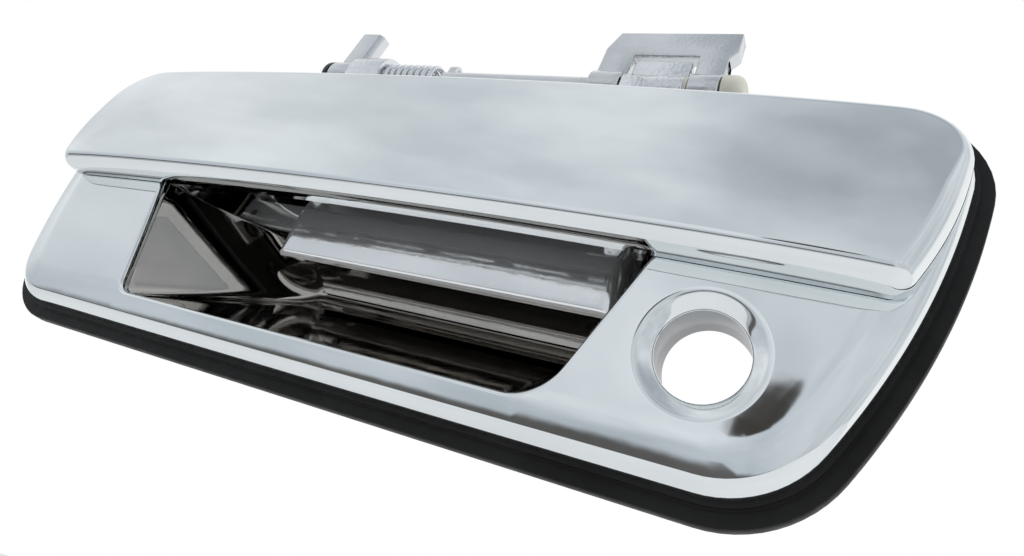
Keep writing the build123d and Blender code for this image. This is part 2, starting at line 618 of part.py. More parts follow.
# ---------------------------------------------------------------- return_spring
with BuildPart() as return_spring:
    coil_length = SPRING_1 - SPRING_0
    with BuildLine() as coil:
        Helix(
            pitch=coil_length / TURNS, height=coil_length, radius=COIL_R,
            center=(SPRING_0, PIN_Y, PIN_Z), direction=(1, 0, 0),
        )
    with BuildSketch(Plane(origin=coil.line @ 0, z_dir=coil.line % 0)):
        Circle(WIRE_R)
    sweep()
    # straight ends, bent to run along the hinge line into the bracket and the tube
    tails = ((BOSS_L1 - SPRING_HOLE + TAIL_EASE, SPRING_0), (SPRING_1, TUBE_0 + TUBE_LUG - TAIL_EASE))
    for x0, x1 in tails:
        with BuildSketch(SIDE.offset(x0)):
            with Locations((PIN_Y, PIN_Z + COIL_R)):
                Circle(WIRE_R)
        extrude(amount=x1 - x0)
    with Locations((SPRING_0, PIN_Y, PIN_Z + COIL_R), (SPRING_1, PIN_Y, PIN_Z + COIL_R)):
        Sphere(WIRE_R)
return_spring.part.label = "return_spring"
export_step(return_spring.part, "parts/return_spring.step")

# ---------------------------------------------------------------- fasteners of the paddle
with BuildPart() as paddle_screws:
    pan_screws(PLATE_Y1, PLATE_Y1 - PLATE_Y0 + COVER_HOLE - TIP_EASE, PADDLE_SCREWS)
paddle_screws.part.label = "paddle_screws"
export_step(paddle_screws.part, "parts/paddle_screws.step")

with BuildPart() as lever_screws:
    pan_screws(PAD_Y1, PAD_Y1 - PLATE_Y0 + COVER_HOLE - TIP_EASE, LEVER_SCREWS)
lever_screws.part.label = "lever_screws"
export_step(lever_screws.part, "parts/lever_screws.step")

with BuildPart() as bar_screws:
    pan_screws(ARM_Y1, ARM_Y1 - BAR_Y1, BAR_SCREWS)
bar_screws.part.label = "bar_screws"
export_step(bar_screws.part, "parts/bar_screws.step")
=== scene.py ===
import cmath
import math

import bmesh
import bpy
import numpy as np
from mathutils import Matrix, Vector
from mathutils.geometry import delaunay_2d_cdt


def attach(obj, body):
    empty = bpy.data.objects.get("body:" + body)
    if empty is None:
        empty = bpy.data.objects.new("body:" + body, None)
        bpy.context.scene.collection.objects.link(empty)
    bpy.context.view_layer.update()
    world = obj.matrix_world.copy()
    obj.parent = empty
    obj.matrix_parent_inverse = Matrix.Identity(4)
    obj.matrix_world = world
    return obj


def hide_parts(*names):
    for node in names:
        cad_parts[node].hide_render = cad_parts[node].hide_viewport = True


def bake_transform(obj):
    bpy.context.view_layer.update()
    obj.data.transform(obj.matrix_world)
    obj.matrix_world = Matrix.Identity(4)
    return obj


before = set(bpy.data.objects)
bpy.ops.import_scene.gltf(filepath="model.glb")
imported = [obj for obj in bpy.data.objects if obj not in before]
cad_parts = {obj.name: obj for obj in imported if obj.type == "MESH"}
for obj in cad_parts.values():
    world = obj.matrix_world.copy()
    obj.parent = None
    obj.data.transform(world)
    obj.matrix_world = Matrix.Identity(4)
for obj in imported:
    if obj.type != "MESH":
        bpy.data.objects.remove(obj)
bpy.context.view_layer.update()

# A chromed pickup tailgate handle. Lengths below are in millimetres unless a name says otherwise:
# +X right along the handle, +Y into the tailgate, +Z up. MM turns them into Blender's metres.
MM = 0.001

# Bezel
FACE = -9.5
INSIDE = -7.0
RIM_FRONT = -4.75
RIM_WALL = 3.0
BOSS_ROOT = 0.2     # how far a boss starts inside its wall
BEZEL_TOP = (141.5, 46.5)
BEZEL_FOOT = (110.0, -43.2)
BEZEL_CROWN = (0.0, 51.4)
BEZEL_BELLY = (131.2, -3.3)
BEZEL_RADII = (17, 17, 24, 24)
ROLL_R = 3.4
SHOULDER_R = 30.0
SHOULDER_TURN = math.radians(13.5)

# Recess
SILL_Z = 1.0
CHAMBER_TOP = 34.0
RECESS_LEFT, RECESS_RIGHT = -84.6, 78.7
FLOOR_LEFT, FLOOR_RIGHT, FLOOR_Z = -66.0, 64.4, -35.3
BACK_LEFT, BACK_RIGHT = -46.0, 74.0
BACK_FLOOR_LEFT, BACK_FLOOR_RIGHT, BACK_FLOOR_Z = -28.0, 66.0, -16.5
SCOOP_BACK, CHAMBER_BACK = 19.5, 22.5
CUP_WALL = 2.0
LIP_ROLL = 1.3
BACK_ROLL = 4.0
LEVER_SLOTS = ((-71.9, -62.1), (56.0, 68.0))
EAR = 4.4           # half the side of a screw ear

# Keyhole
KEY = (93.4, -19.0)
KEY_R = 9.5
KEY_DISH_R = 13.8
KEY_DISH_DROP = 2.2
KEY_STEPS = 96
KEY_TUBE_R = 11.5
KEY_TUBE_BACK = 2.0

# Paddle
PADDLE_TOP = (139.3, 44.6)
PADDLE_TIP = (128.0, -2.5)
PADDLE_CROWN = (0.0, 49.0)
PADDLE_SIDE = (136.6, 19.0)
PADDLE_SILL = (0.0, 0.4)
PADDLE_RADII = (14, 14, 5, 8)
PADDLE_REAR = -9.9
PADDLE_ROLLS = (2.0, 4.2)
PADDLE_WALL = 2.5
PADDLE_HALF = 139.0
PADDLE_END_FALL = 2.2
PAD_FRONT = -14.5

# Hinge line
PIN_Y, PIN_Z = 10.5, 67.5

# Return spring
WIRE_R = 0.95
WIRE_SIDES = 14
COIL_R = 5.5
TURNS = 8
SPRING_0, SPRING_1 = -45.0, -22.8
TAIL_0, TAIL_1 = -49.5, -19.1

# Grip bar, with the radius that rounds each end
BAR_ENDS = ((-43.5, 3.4), (66.5, 4.0))
BAR_FRONT, BAR_REAR = 6.6, 12.0
BAR_TOP, BAR_CREASE, BAR_FOOT = 11.0, 7.0, -7.0

# Fasteners: x and z of each axis along Y
BRACKET_SCREWS = [(x, 43.2) for x in (-52.0, -18.0, 16.0, 46.0)]
CUP_SCREWS = [(x, z) for x in (-91.2, 85.4) for z in (9.0, 27.0)]
PADDLE_SCREWS = [(x, 18.0) for x in (-46.0, -16.0, 14.0, 42.0)]
LEVER_SCREWS = [(x, 19.5) for x in (-74.5, -59.5, 54.5, 69.5)]
BAR_SCREWS = [(x, 6.0) for x in (-66.5, 59.4)]
STUDS = [(x, z) for x in (-113.0, 113.0) for z in (-15.0, 15.0)]
STOPS = [(x, 31.0) for x in (-112.0, 112.0)]
POST_R, PILOT_R = 3.6, 1.5
STUD_BOSS_R, STUD_ROOT_R = 6.0, 3.7


# ---------------------------------------------------------------- outlines
STRAIGHT = 0.01     # the least bulge of an edge: a straight edge is a very flat arc


def edge_circle(a, b, bulge):
    """Centre, radius and side of the circle through a and b that bulges left of travel."""
    out = 1j * (b - a) / abs(b - a)
    rise = bulge if abs(bulge) > STRAIGHT else STRAIGHT
    radius = (abs(b - a) ** 2 / 4 + rise * rise) / (2 * abs(rise))
    side = 1 if rise > 0 else -1
    centre = (a + b) / 2 + out * (rise - side * radius)
    return centre, radius, side


def corner_centre(first, second, radius, corner):
    """Centre of the fillet between two edge circles; a negative radius rounds a reflex corner."""
    (c1, r1, s1), (c2, r2, s2) = first, second
    r1, r2 = r1 - s1 * radius, r2 - s2 * radius
    gap = abs(c2 - c1)
    along = (r1 * r1 - r2 * r2 + gap * gap) / (2 * gap)
    across = math.sqrt(max(r1 * r1 - along * along, 0))
    unit = (c2 - c1) / gap
    foot = c1 + unit * along
    return min((foot + 1j * unit * across, foot - 1j * unit * across), key=lambda p: abs(p - corner))


def arc(centre, start, end, steps):
    """Points from start to end round a centre, the short way, without the last one."""
    turn = cmath.phase((end - centre) / (start - centre))
    return [centre + (start - centre) * cmath.exp(1j * turn * k / steps) for k in range(steps)]


def outline(corners, bulges, radii, edge_steps=40, corner_steps=12):
    """A clockwise loop of bowed edges with rounded corners, as complex points x + iz and normals."""
    corners = [complex(*c) for c in corners]
    count = len(corners)
    steps = edge_steps if isinstance(edge_steps, (list, tuple)) else [edge_steps] * count
    edges = [edge_circle(corners[i], corners[(i + 1) % count], bulges[i]) for i in range(count)]
    centres = [corner_centre(edges[i - 1], edges[i], radii[i], corners[i]) for i in range(count)]
    points, normals = [], []
    for i in range(count):
        before, after, centre = edges[i - 1], edges[i], centres[i]
        touch = []
        for c, r, _ in (before, after):
            touch.append(c + (centre - c) / abs(centre - c) * r)
        turn = arc(centre, touch[0], touch[1], corner_steps)
        points += turn
        normals += [(p - centre) / abs(p - centre) * math.copysign(1, radii[i]) for p in turn]
        c, r, side = after
        nxt = centres[(i + 1) % count]
        end = c + (nxt - c) / abs(nxt - c) * r
        run = arc(c, touch[1], end, steps[i])
        points += run
        normals += [(p - c) / abs(p - c) * side for p in run]
    return np.array(points), np.array(normals)


def rise_through(a, b, through):
    """How far the arc from a to b through a third point bulges left of travel."""
    a, b, p = complex(*a), complex(*b), complex(*through)
    out = 1j * (b - a) / abs(b - a)
    half = abs(b - a) / 2
    off = ((p - (a + b) / 2) * out.conjugate())
    height, along = off.real, off.imag
    lift = (half**2 - along**2 - height**2) / (2 * height)
    return math.copysign(math.hypot(half, lift), height) - lift


def bowed(crown, top, side, foot, sill, radii, steps):
    """The outline shared by the bezel, the gasket and the paddle: symmetrical about x = 0."""
    corners = ((-top[0], top[1]), top, foot, (-foot[0], foot[1]))
    flank = rise_through(top, foot, side)
    bulges = (crown[1] - top[1], flank, foot[1] - sill[1], flank)
    return outline(corners, bulges, radii, steps)


# ---------------------------------------------------------------- mesh making
def inside(points, loop):
    """Which points lie inside a closed loop, by the even-odd rule."""
    x, z = points.real[:, None], points.imag[:, None]
    a, b = loop[None], np.roll(loop, -1)[None]
    straddles = (a.imag > z) != (b.imag > z)
    slope = (b.real - a.real) / np.where(b.imag == a.imag, 1, b.imag - a.imag)
    hits = straddles & (x < a.real + (z - a.imag) * slope)
    return hits.sum(1) % 2 == 1


def nearest(points, loop):
    """Distance from each point to a densely sampled closed loop."""
    a, b = loop[None], np.roll(loop, -1)[None]
    p = points[:, None]
    run = b - a
    share = np.clip(((p - a) * run.conj()).real / np.maximum(abs(run) ** 2, 1e-12), 0, 1)
    return abs(p - a - share * run).min(1)


def region(loops, pitch):
    """Points and triangles that fill the first loop outside the others, with a staggered grid within."""
    outer = loops[0]
    xs = np.arange(outer.real.min(), outer.real.max(), pitch)
    zs = np.arange(outer.imag.min(), outer.imag.max(), pitch * 0.866)
    grid = np.array([x + (k % 2) * pitch / 2 + 1j * z for k, z in enumerate(zs) for x in xs])
    keep = inside(grid, outer)
    for hole in loops[1:]:
        keep &= ~inside(grid, hole)
    grid = grid[keep]
    clear = np.min([nearest(grid, loop) for loop in loops], axis=0)
    grid = grid[clear > 0.6 * pitch]
    points = np.concatenate(list(loops) + [grid])
    edges, start = [], 0
    for loop in loops:
        n = len(loop)
        edges += [(start + k, start + (k + 1) % n) for k in range(n)]
        start += n
    flat = [Vector((p.real, p.imag)) for p in points]
    made = delaunay_2d_cdt(flat, edges, [], 0, 1e-6)
    points = np.array([complex(v[0], v[1]) for v in made[0]])
    faces = np.array([f for f in made[2] if len(f) == 3])
    middles = points[faces].mean(1)
    keep = inside(middles, outer)
    for hole in loops[1:]:
        keep &= ~inside(middles, hole)
    return points, faces[keep]


class Skin:
    """A mesh in the making, in millimetres, built from rings and filled regions."""

    def __init__(self):
        self.points, self.faces, self.normals = [], [], []

    def add(self, points, normals=None):
        first = len(self.points)
        self.points += [tuple(p) for p in points]
        self.normals += [tuple(n) for n in normals] if normals is not None else [(0, 0, 0)] * len(points)
        return first

    def rings(self, rings, joined=False, normals=None):
        """Quads between closed rings of equal length; joined also closes the last ring on the first."""
        known = normals or [None] * len(rings)
        starts = [self.add(r, n) for r, n in zip(rings, known)]
        n = len(rings[0])
        pairs = list(zip(starts, starts[1:])) + ([(starts[-1], starts[0])] if joined else [])
        for a, b in pairs:
            for k in range(n):
                nxt = (k + 1) % n
                self.faces.append((a + k, a + nxt, b + nxt, b + k))
        return starts

    def cap(self, ring):
        """One face across a ring."""
        first = self.add(ring)
        self.faces.append(tuple(range(first, first + len(ring))))

    def fill(self, loops, depth, pitch, facing=0):
        """Fills a region at y = depth(points); facing -1 or 1 also sets exact normals towards -Y or +Y."""
        points, faces = region(loops, pitch)
        y = depth(points)
        normals = None
        if facing:
            h = 0.05
            dx = (depth(points + h) - depth(points - h)) / (2 * h)
            dz = (depth(points + 1j * h) - depth(points - 1j * h)) / (2 * h)
            normals = np.stack([-dx, np.ones(len(y)), -dz], 1) * facing
            normals /= np.linalg.norm(normals, axis=1)[:, None]
        first = self.add(np.stack([points.real, y, points.imag], 1), normals)
        self.faces += [tuple(int(first + i) for i in f) for f in faces]

    def share_normals(self):
        """Gives points in one place the same exact normal, so that patches meet without a crease."""
        keys = [tuple(round(c * 200) for c in p) for p in self.points]
        sums = {}
        for key, normal in zip(keys, self.normals):
            sums[key] = sums.get(key, np.zeros(3)) + np.array(normal)
        for key, total in sums.items():
            length = np.linalg.norm(total)
            sums[key] = tuple(total / length) if length > 0.5 else (0, 0, 0)
        self.normals = [sums[key] for key in keys]

    def make(self, name, smooth=35):
        """The finished object, welded, its normals facing outwards, smooth below an angle."""
        self.share_normals()
        mesh = bpy.data.meshes.new(name)
        mesh.from_pydata([tuple(c * MM for c in p) for p in self.points], [], self.faces)
        layer = mesh.attributes.new("exact", "FLOAT_VECTOR", "POINT")
        layer.data.foreach_set("vector", np.array(self.normals, np.float32).ravel())
        bm = bmesh.new()
        bm.from_mesh(mesh)
        bmesh.ops.remove_doubles(bm, verts=bm.verts, dist=0.004 * MM)
        bmesh.ops.recalc_face_normals(bm, faces=bm.faces)
        bm.to_mesh(mesh)
        bm.free()
        finish_shading(mesh, smooth)
        piece = bpy.data.objects.new(name, mesh)
        bpy.context.scene.collection.objects.link(piece)
        return piece


def finish_shading(mesh, smooth):
    """Smooth shading with sharp edges above an angle, and the exact normals where they are known."""
    mesh.polygons.foreach_set("use_smooth", [True] * len(mesh.polygons))
    mesh.set_sharp_from_angle(angle=math.radians(smooth))
    layer = mesh.attributes.get("exact")
    if layer:
        exact = np.zeros(len(mesh.vertices) * 3, np.float32)
        layer.data.foreach_get("vector", exact)
        exact = exact.reshape(-1, 3)
        if np.abs(exact).max() > 0.5:
            mesh.normals_split_custom_set_from_vertices([tuple(map(float, n)) for n in exact])
        mesh.attributes.remove(mesh.attributes["exact"])


def ring_at(points, normals, grow, y):
    """The loop grown by grow, at depth y, which may be a number or one for each point."""
    moved = points + normals * grow
    return np.stack([moved.real, np.broadcast_to(y, moved.shape), moved.imag], 1)


def roll_normals(normals, angle):
    """Exact normals of a ring on a roll: angle 0 faces the hand, a quarter turn faces outwards."""
    out = normals * math.sin(angle)
    return np.stack([out.real, np.full(len(out), -math.cos(angle)), out.imag], 1)


def circle(centre, radius, steps):
    """A clockwise circle as complex points."""
    turns = -2j * np.pi * np.arange(steps) / steps
    return complex(*centre) + radius * np.exp(turns)


def turned(skin, centre, profile, steps=32):
    """Adds a body turned about an axis along Y; the profile is a list of (radius, y) from axis to axis."""
    rings = []
    for radius, y in profile:
        loop = circle(centre, max(radius, 0.001), steps)
        rings.append(np.stack([loop.real, np.full(steps, y), loop.imag], 1))
    skin.rings(rings)


def post(skin, centre, outer, bore, front, back, steps=32):
    """A round boss along Y with a blind hole from its back end."""
    hole_floor = front + 1.0
    profile = [(0, front), (outer, front), (outer, back - 0.4), (outer - 0.4, back)]
    profile += [(bore + 0.3, back), (bore, back - 0.3), (bore, hole_floor), (0, hole_floor)]
    turned(skin, centre, profile, steps)


def slab(skin, xs, ys, zs, radius):
    """A flat block facing Y with rounded corners and eased edges."""
    edge = 0.3
    corners = ((xs[0], zs[1]), (xs[1], zs[1]), (xs[1], zs[0]), (xs[0], zs[0]))
    loop, normals = outline(corners, (0,) * 4, (radius,) * 4, 4, 6)
    levels = ((-edge, ys[0]), (-0.3 * edge, ys[0] + 0.3 * edge), (0, ys[0] + edge),
              (0, ys[1] - edge), (-0.3 * edge, ys[1] - 0.3 * edge), (-edge, ys[1]))
    rings = [ring_at(loop, normals, grow, y) for grow, y in levels]
    skin.rings(rings)
    skin.cap(rings[0])
    skin.cap(rings[-1])


# ---------------------------------------------------------------- bezel
STEPS = [90, 40, 90, 40]    # along the crown, a flank, the foot and the other flank
bezel_loop, bezel_normals = bowed(
    BEZEL_CROWN, BEZEL_TOP, BEZEL_BELLY, BEZEL_FOOT, BEZEL_FOOT, BEZEL_RADII, STEPS
)
roll_width = ROLL_R * (1 - math.sin(SHOULDER_TURN))
roll_drop = ROLL_R * math.cos(SHOULDER_TURN)
shoulder_width = SHOULDER_R * math.sin(SHOULDER_TURN)


def bezel_face(points):
    """Depth of the bezel's face: flat in the middle, with a soft shoulder towards its edge."""
    edge = nearest(points, bezel_loop)
    into = np.clip(shoulder_width + roll_width - edge, 0, shoulder_width)
    return FACE + SHOULDER_R - np.sqrt(SHOULDER_R**2 - into**2)


opening_corners = (
    (RECESS_LEFT, CHAMBER_TOP), (RECESS_RIGHT, CHAMBER_TOP), (RECESS_RIGHT, SILL_Z),
    (FLOOR_RIGHT, FLOOR_Z), (FLOOR_LEFT, FLOOR_Z), (RECESS_LEFT, SILL_Z),
)
opening_loop, opening_normals = outline(
    opening_corners, (0,) * 6, (5, 5, 3, 12, 7, 3), edge_steps=[60, 12, 24, 60, 24, 12]
)


def make_bezel():
    skin = Skin()
    shoulder_edge = bezel_loop - bezel_normals * roll_width
    mouth = opening_loop + opening_normals * LIP_ROLL
    dish = circle(KEY, KEY_DISH_R, KEY_STEPS)
    skin.fill([shoulder_edge, mouth, dish], bezel_face, 3.0, facing=-1)
    # roll round the outer edge, rim, and hollow back
    start = FACE + SHOULDER_R * (1 - math.cos(SHOULDER_TURN))
    rings, known = [], []
    for k in range(15):
        angle = SHOULDER_TURN + (math.pi / 2 - SHOULDER_TURN) * k / 14
        grow = ROLL_R * (math.sin(angle) - 1)
        rings.append(ring_at(bezel_loop, bezel_normals, grow, start + roll_drop - ROLL_R * math.cos(angle)))
        known.append(roll_normals(bezel_normals, angle))
    skin.rings(rings, normals=known)
    rings = rings[-1:]
    rings.append(ring_at(bezel_loop, bezel_normals, 0, RIM_FRONT))
    rings.append(ring_at(bezel_loop, bezel_normals, -RIM_WALL, RIM_FRONT))
    rings.append(ring_at(bezel_loop, bezel_normals, -RIM_WALL, INSIDE))
    skin.rings(rings)
    # roll into the recess
    lip = bezel_face(mouth)
    rings, known = [], []
    for k in range(9):
        angle = math.pi / 2 * k / 8
        grow = LIP_ROLL * (1 - math.sin(angle))
        rings.append(ring_at(opening_loop, opening_normals, grow, lip + LIP_ROLL * (1 - math.cos(angle))))
        known.append(roll_normals(-opening_normals, angle))
    known[0] = None
    skin.rings(rings, normals=known)
    skin.rings([rings[-1], ring_at(opening_loop, opening_normals, 0, INSIDE)])
    # keyhole: a soft dish, a bore and its tube
    dished = [
        (KEY_DISH_R, 0), (13.3, 0.03), (12.8, 0.14), (12.3, 0.34), (11.7, 0.62), (11.0, 0.97),
        (10.4, 1.28), (10.0, 1.5), (9.75, 1.68), (9.58, 1.9), (KEY_R, KEY_DISH_DROP),
    ]
    rings = []
    for radius, drop in dished:
        loop = circle(KEY, radius, KEY_STEPS)
        y = bezel_face(loop) + drop if drop < 0.5 else np.full(KEY_STEPS, FACE + drop)
        rings.append(np.stack([loop.real, y, loop.imag], 1))
    tube = [
        (KEY_R, KEY_TUBE_BACK - 0.4), (KEY_R + 0.4, KEY_TUBE_BACK), (KEY_TUBE_R - 0.4, KEY_TUBE_BACK),
        (KEY_TUBE_R, KEY_TUBE_BACK - 0.4), (KEY_TUBE_R, INSIDE),
    ]
    for radius, y in tube:
        loop = circle(KEY, radius, KEY_STEPS)
        rings.append(np.stack([loop.real, np.full(KEY_STEPS, y), loop.imag], 1))
    skin.rings(rings)
    # inner face and its bosses
    back = bezel_loop - bezel_normals * RIM_WALL
    tube_foot = circle(KEY, KEY_TUBE_R, KEY_STEPS)
    skin.fill([back, opening_loop, tube_foot], lambda p: np.full(len(p), INSIDE), 12.0)
    for centre in BRACKET_SCREWS:
        post(skin, centre, POST_R, PILOT_R, INSIDE - BOSS_ROOT, 2.5)
    for centre in CUP_SCREWS:
        post(skin, centre, POST_R, PILOT_R, INSIDE - BOSS_ROOT, 0.0)
    for centre in STUDS:
        post(skin, centre, STUD_BOSS_R, STUD_ROOT_R, INSIDE - BOSS_ROOT, -0.3, 48)
    return skin.make("bezel_shell")


# ---------------------------------------------------------------- paddle
paddle_loop, paddle_normals = bowed(
    PADDLE_CROWN, PADDLE_TOP, PADDLE_SIDE, PADDLE_TIP, PADDLE_SILL, PADDLE_RADII, STEPS
)
# its front from top to bottom: some heights, and the face's depth at each
PROFILE_Z = np.array([52.0, 46.0, 38.0, 28.0, 16.0, 4.0, -6.0])
PROFILE_Y = np.array([-11.8, -13.1, -14.9, -16.6, -17.9, -18.6, -18.3])
profile_curve = np.polyfit(PROFILE_Z, PROFILE_Y, 4)


def paddle_face(points):
    """Depth of the paddle's front: bowed from top to bottom, and falling back a little at its ends."""
    return np.polyval(profile_curve, points.imag) + PADDLE_END_FALL * np.abs(points.real / PADDLE_HALF) ** 9


def paddle_hollow(points):
    """Depth of the hollow behind the paddle's face, which stops short of its rear edge."""
    return np.minimum(paddle_face(points) + PADDLE_WALL, PADDLE_REAR - 0.35)


def make_paddle():
    skin = Skin()
    thick = PADDLE_REAR - paddle_face(paddle_loop)
    roll = np.clip(thick * 0.75, *PADDLE_ROLLS)
    flat = paddle_loop - paddle_normals * roll
    skin.fill([flat], paddle_face, 3.5, facing=-1)
    edge = paddle_face(flat)
    rings, known = [], []
    for k in range(15):
        angle = math.pi / 2 * k / 14
        grow = roll * (math.sin(angle) - 1)
        rings.append(ring_at(paddle_loop, paddle_normals, grow, edge + roll * (1 - math.cos(angle))))
        known.append(roll_normals(paddle_normals, angle))
    known[0] = None
    skin.rings(rings, normals=known)
    rings = rings[-1:]
    for grow, y in ((0, PADDLE_REAR - 0.4), (-0.4, PADDLE_REAR), (-PADDLE_WALL + 0.3, PADDLE_REAR)):
        rings.append(ring_at(paddle_loop, paddle_normals, grow, y))
    inner = paddle_loop - paddle_normals * PADDLE_WALL
    rings.append(ring_at(paddle_loop, paddle_normals, -PADDLE_WALL, PADDLE_REAR - 0.3))
    rings.append(ring_at(paddle_loop, paddle_normals, -PADDLE_WALL, paddle_hollow(inner)))
    skin.rings(rings)
    skin.fill([inner], paddle_hollow, 6.0)
    for centre in PADDLE_SCREWS + LEVER_SCREWS:
        post(skin, centre, POST_R, PILOT_R, -16.3, PADDLE_REAR)
    for centre in STOPS:
        turned(skin, centre, [(0, PAD_FRONT), (6, PAD_FRONT), (6, -12.2), (5.6, -11.9), (0, -11.9)], 40)
    return skin.make("paddle_shell")


# ---------------------------------------------------------------- finger cup
def cup_section(share, grow=0.0):
    """One section of the pocket, from its mouth (share 0) to its back (share 1), as a loop."""
    def mix(a, b):
        return a + (b - a) * share

    left, right = mix(RECESS_LEFT, BACK_LEFT), mix(RECESS_RIGHT, BACK_RIGHT)
    ledge_left = left - RECESS_LEFT
    ledge_right = RECESS_RIGHT - right
    left = max(left, RECESS_LEFT + 0.6)
    right = min(right, RECESS_RIGHT - 0.6)
    corners = (
        (RECESS_LEFT, CHAMBER_TOP), (RECESS_RIGHT, CHAMBER_TOP), (RECESS_RIGHT, SILL_Z),
        (right, SILL_Z), (mix(FLOOR_RIGHT, BACK_FLOOR_RIGHT), mix(FLOOR_Z, BACK_FLOOR_Z)),
        (mix(FLOOR_LEFT, BACK_FLOOR_LEFT), mix(FLOOR_Z, BACK_FLOOR_Z)),
        (left, SILL_Z), (RECESS_LEFT, SILL_Z),
    )
    soft_left = min(2.4, max(0.25, 0.4 * ledge_left))
    soft_right = min(1.6, max(0.25, 0.4 * ledge_right))
    radii = (5, 5, soft_right, -soft_right, mix(12, 6), mix(7, 6), -soft_left, soft_left)
    edge_steps = [60, 12, 4, 24, 60, 24, 12, 12]
    loop, normals = outline(corners, (0,) * 8, radii, edge_steps, corner_steps=10)
    return loop + normals * grow, normals


def cup_depth(points, share):
    """Depth at a share of the pocket: the chamber above the ledge is a little deeper than the scoop."""
    rise = np.clip((points.imag - SILL_Z) / 4.0, 0, 1)
    rise = rise * rise * (3 - 2 * rise)
    back = SCOOP_BACK + (CHAMBER_BACK - SCOOP_BACK) * rise
    return INSIDE + (back - INSIDE) * share


def cup_rings(grow, extra):
    """Rings of one skin of the pocket, mouth first, the last few rolling round into its back."""
    rings = []
    start = 1 - BACK_ROLL / (SCOOP_BACK - INSIDE)
    for k in range(25):
        share = k / 24 * start
        loop, _ = cup_section(share, grow)
        y = cup_depth(loop, share)
        if k == 0:
            y = np.full(len(loop), INSIDE)
        rings.append(np.stack([loop.real, y + extra * share, loop.imag], 1))
    for k in range(1, 9):
        angle = math.pi / 2 * k / 8
        share = start + (1 - start) * math.sin(angle)
        loop, normals = cup_section(share, grow)
        drawn = loop - normals * BACK_ROLL * (1 - math.cos(angle)) * 0.9
        y = cup_depth(loop, share)
        rings.append(np.stack([drawn.real, y + extra * share, drawn.imag], 1))
    return rings


def box_cutter(x0, x1, y0, y1, z0, z1):
    """A block used to cut a slot."""
    mesh = bpy.data.meshes.new("cutter")
    corners = [(x * MM, y * MM, z * MM) for x in (x0, x1) for y in (y0, y1) for z in (z0, z1)]
    faces = [(0, 1, 3, 2), (4, 6, 7, 5), (0, 4, 5, 1), (2, 3, 7, 6), (0, 2, 6, 4), (1, 5, 7, 3)]
    mesh.from_pydata(corners, [], faces)
    cutter = bpy.data.objects.new("cutter", mesh)
    bpy.context.scene.collection.objects.link(cutter)
    return cutter


def applied(piece):
    """Bakes a piece's modifiers into its mesh."""
    graph = bpy.context.evaluated_depsgraph_get()
    made = bpy.data.meshes.new_from_object(piece.evaluated_get(graph))
    piece.modifiers.clear()
    piece.data = made


def cut(piece, cutters, smooth=35):
    """Cuts blocks out of a piece."""
    for cutter in cutters:
        step = piece.modifiers.new("cut", "BOOLEAN")
        step.operation = "DIFFERENCE"
        step.solver = "EXACT"
        step.object = cutter
    bpy.context.view_layer.update()
    applied(piece)
    for cutter in cutters:
        bpy.data.objects.remove(cutter)
    finish_shading(piece.data, smooth)


def make_cup():
    skin = Skin()
    inner, outer = cup_rings(0.0, 0.0), cup_rings(CUP_WALL, CUP_WALL)
    skin.rings([inner[0], outer[0]])
    for rings in (inner, outer):
        skin.rings(rings)
        last = rings[-1]
        loop = last[:, 0] + 1j * last[:, 2]
        depth_shift = last[:, 1] - cup_depth(loop, 1.0)
        shift = float(depth_shift.mean())
        skin.fill([loop], lambda p: cup_depth(p, 1.0) + shift, 6.0)
    for x, z in CUP_SCREWS:
        xs = (x - EAR, RECESS_LEFT - CUP_WALL + 0.3) if x < 0 else (RECESS_RIGHT + CUP_WALL - 0.3, x + EAR)
        slab(skin, xs, (0.0, 2.5), (z - EAR, z + EAR), 1.5)
    piece = skin.make("pocket_shell")
    cut(piece, [
        box_cutter(x0 - 1.1, x1 + 1.1, -5.2, 19.1, CHAMBER_TOP - 1.5, CHAMBER_TOP + CUP_WALL + 1)
        for x0, x1 in LEVER_SLOTS
    ])
    return piece


# ---------------------------------------------------------------- gasket
def make_gasket():
    """A flat gasket with a lip that stands round the bezel's rim."""
    profile = [
        (-RIM_WALL, 0.0), (-RIM_WALL, RIM_FRONT), (0.6, RIM_FRONT), (0.9, -4.65), (1.0, -4.35),
        (1.0, -3.35), (1.15, -3.2), (3.5, -3.2), (3.85, -3.05), (4.0, -2.7), (4.0, -0.5),
        (3.85, -0.15), (3.5, 0.0),
    ]
    skin = Skin()
    skin.rings([ring_at(bezel_loop, bezel_normals, g, y) for g, y in profile], joined=True)
    return skin.make("gasket_ring", smooth=30)


# ---------------------------------------------------------------- return spring
def swept(skin, path, radius):
    """A round wire along a path of points, with closed ends."""
    path = [Vector(p) for p in path]
    rings, side = [], None
    for k, p in enumerate(path):
        ahead = (path[min(k + 1, len(path) - 1)] - path[max(k - 1, 0)]).normalized()
        if side is None:
            side = ahead.orthogonal().normalized()
        side = (side - ahead * side.dot(ahead)).normalized()
        up = ahead.cross(side)
        rings.append([
            p + radius * (math.cos(a) * side + math.sin(a) * up)
            for a in (2 * math.pi * j / WIRE_SIDES for j in range(WIRE_SIDES))
        ])
    skin.rings(rings)
    skin.cap(rings[0])
    skin.cap(rings[-1])


def make_spring():
    """The coil with an axial tail at each end, each led in by a short bend."""
    path = [(x, PIN_Y, PIN_Z + COIL_R) for x in np.linspace(TAIL_0, SPRING_0 - 0.8, 4)]
    steps = 36
    for k in range(TURNS * steps + 1):
        share = k / (TURNS * steps)
        turn = 2 * math.pi * TURNS * share
        x = SPRING_0 + (SPRING_1 - SPRING_0) * share
        path.append((x, PIN_Y - COIL_R * math.sin(turn), PIN_Z + COIL_R * math.cos(turn)))
    path += [(x, PIN_Y, PIN_Z + COIL_R) for x in np.linspace(SPRING_1 + 0.8, TAIL_1, 4)]
    skin = Skin()
    swept(skin, path, WIRE_R)
    return skin.make("spring_coil", smooth=60)


